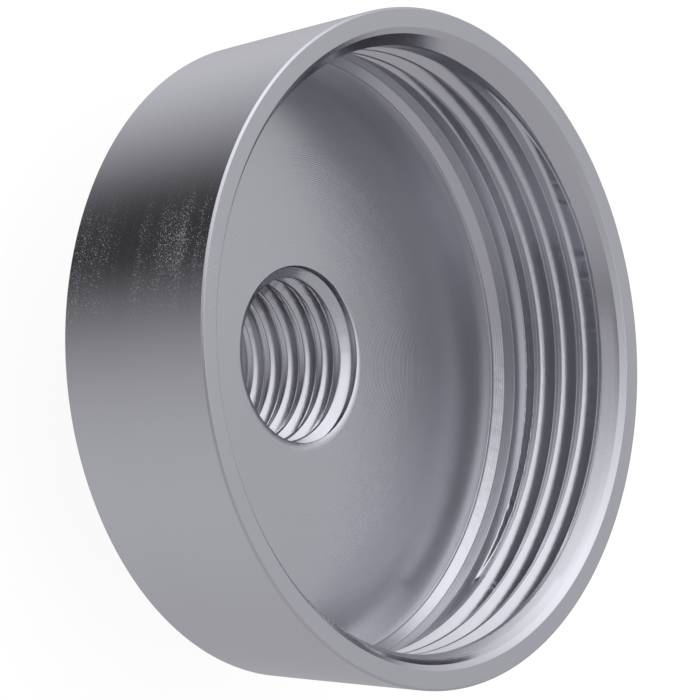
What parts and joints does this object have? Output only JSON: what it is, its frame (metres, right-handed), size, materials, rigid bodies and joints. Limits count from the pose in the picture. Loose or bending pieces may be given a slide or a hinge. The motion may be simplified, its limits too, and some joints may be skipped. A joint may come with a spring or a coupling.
{
  "type": "threaded cap",
  "caption": "Turned aluminium cup with a large internal thread at its mouth and a threaded hole through its floor and rear neck.",
  "frame": {"origin": "centre of the neck's end face, on which the cap stands", "axes": "+Z along the turning axis, from the neck to the open mouth; +X at azimuth 0 of the mouth thread"},
  "size_m": [0.0364, 0.0364, 0.0178],
  "materials": {
    "bare_aluminium": "satin, fine turning marks"
  },
  "bodies": {
    "root": {"threaded_cap": "bare_aluminium"}
  },
  "joints": []
}
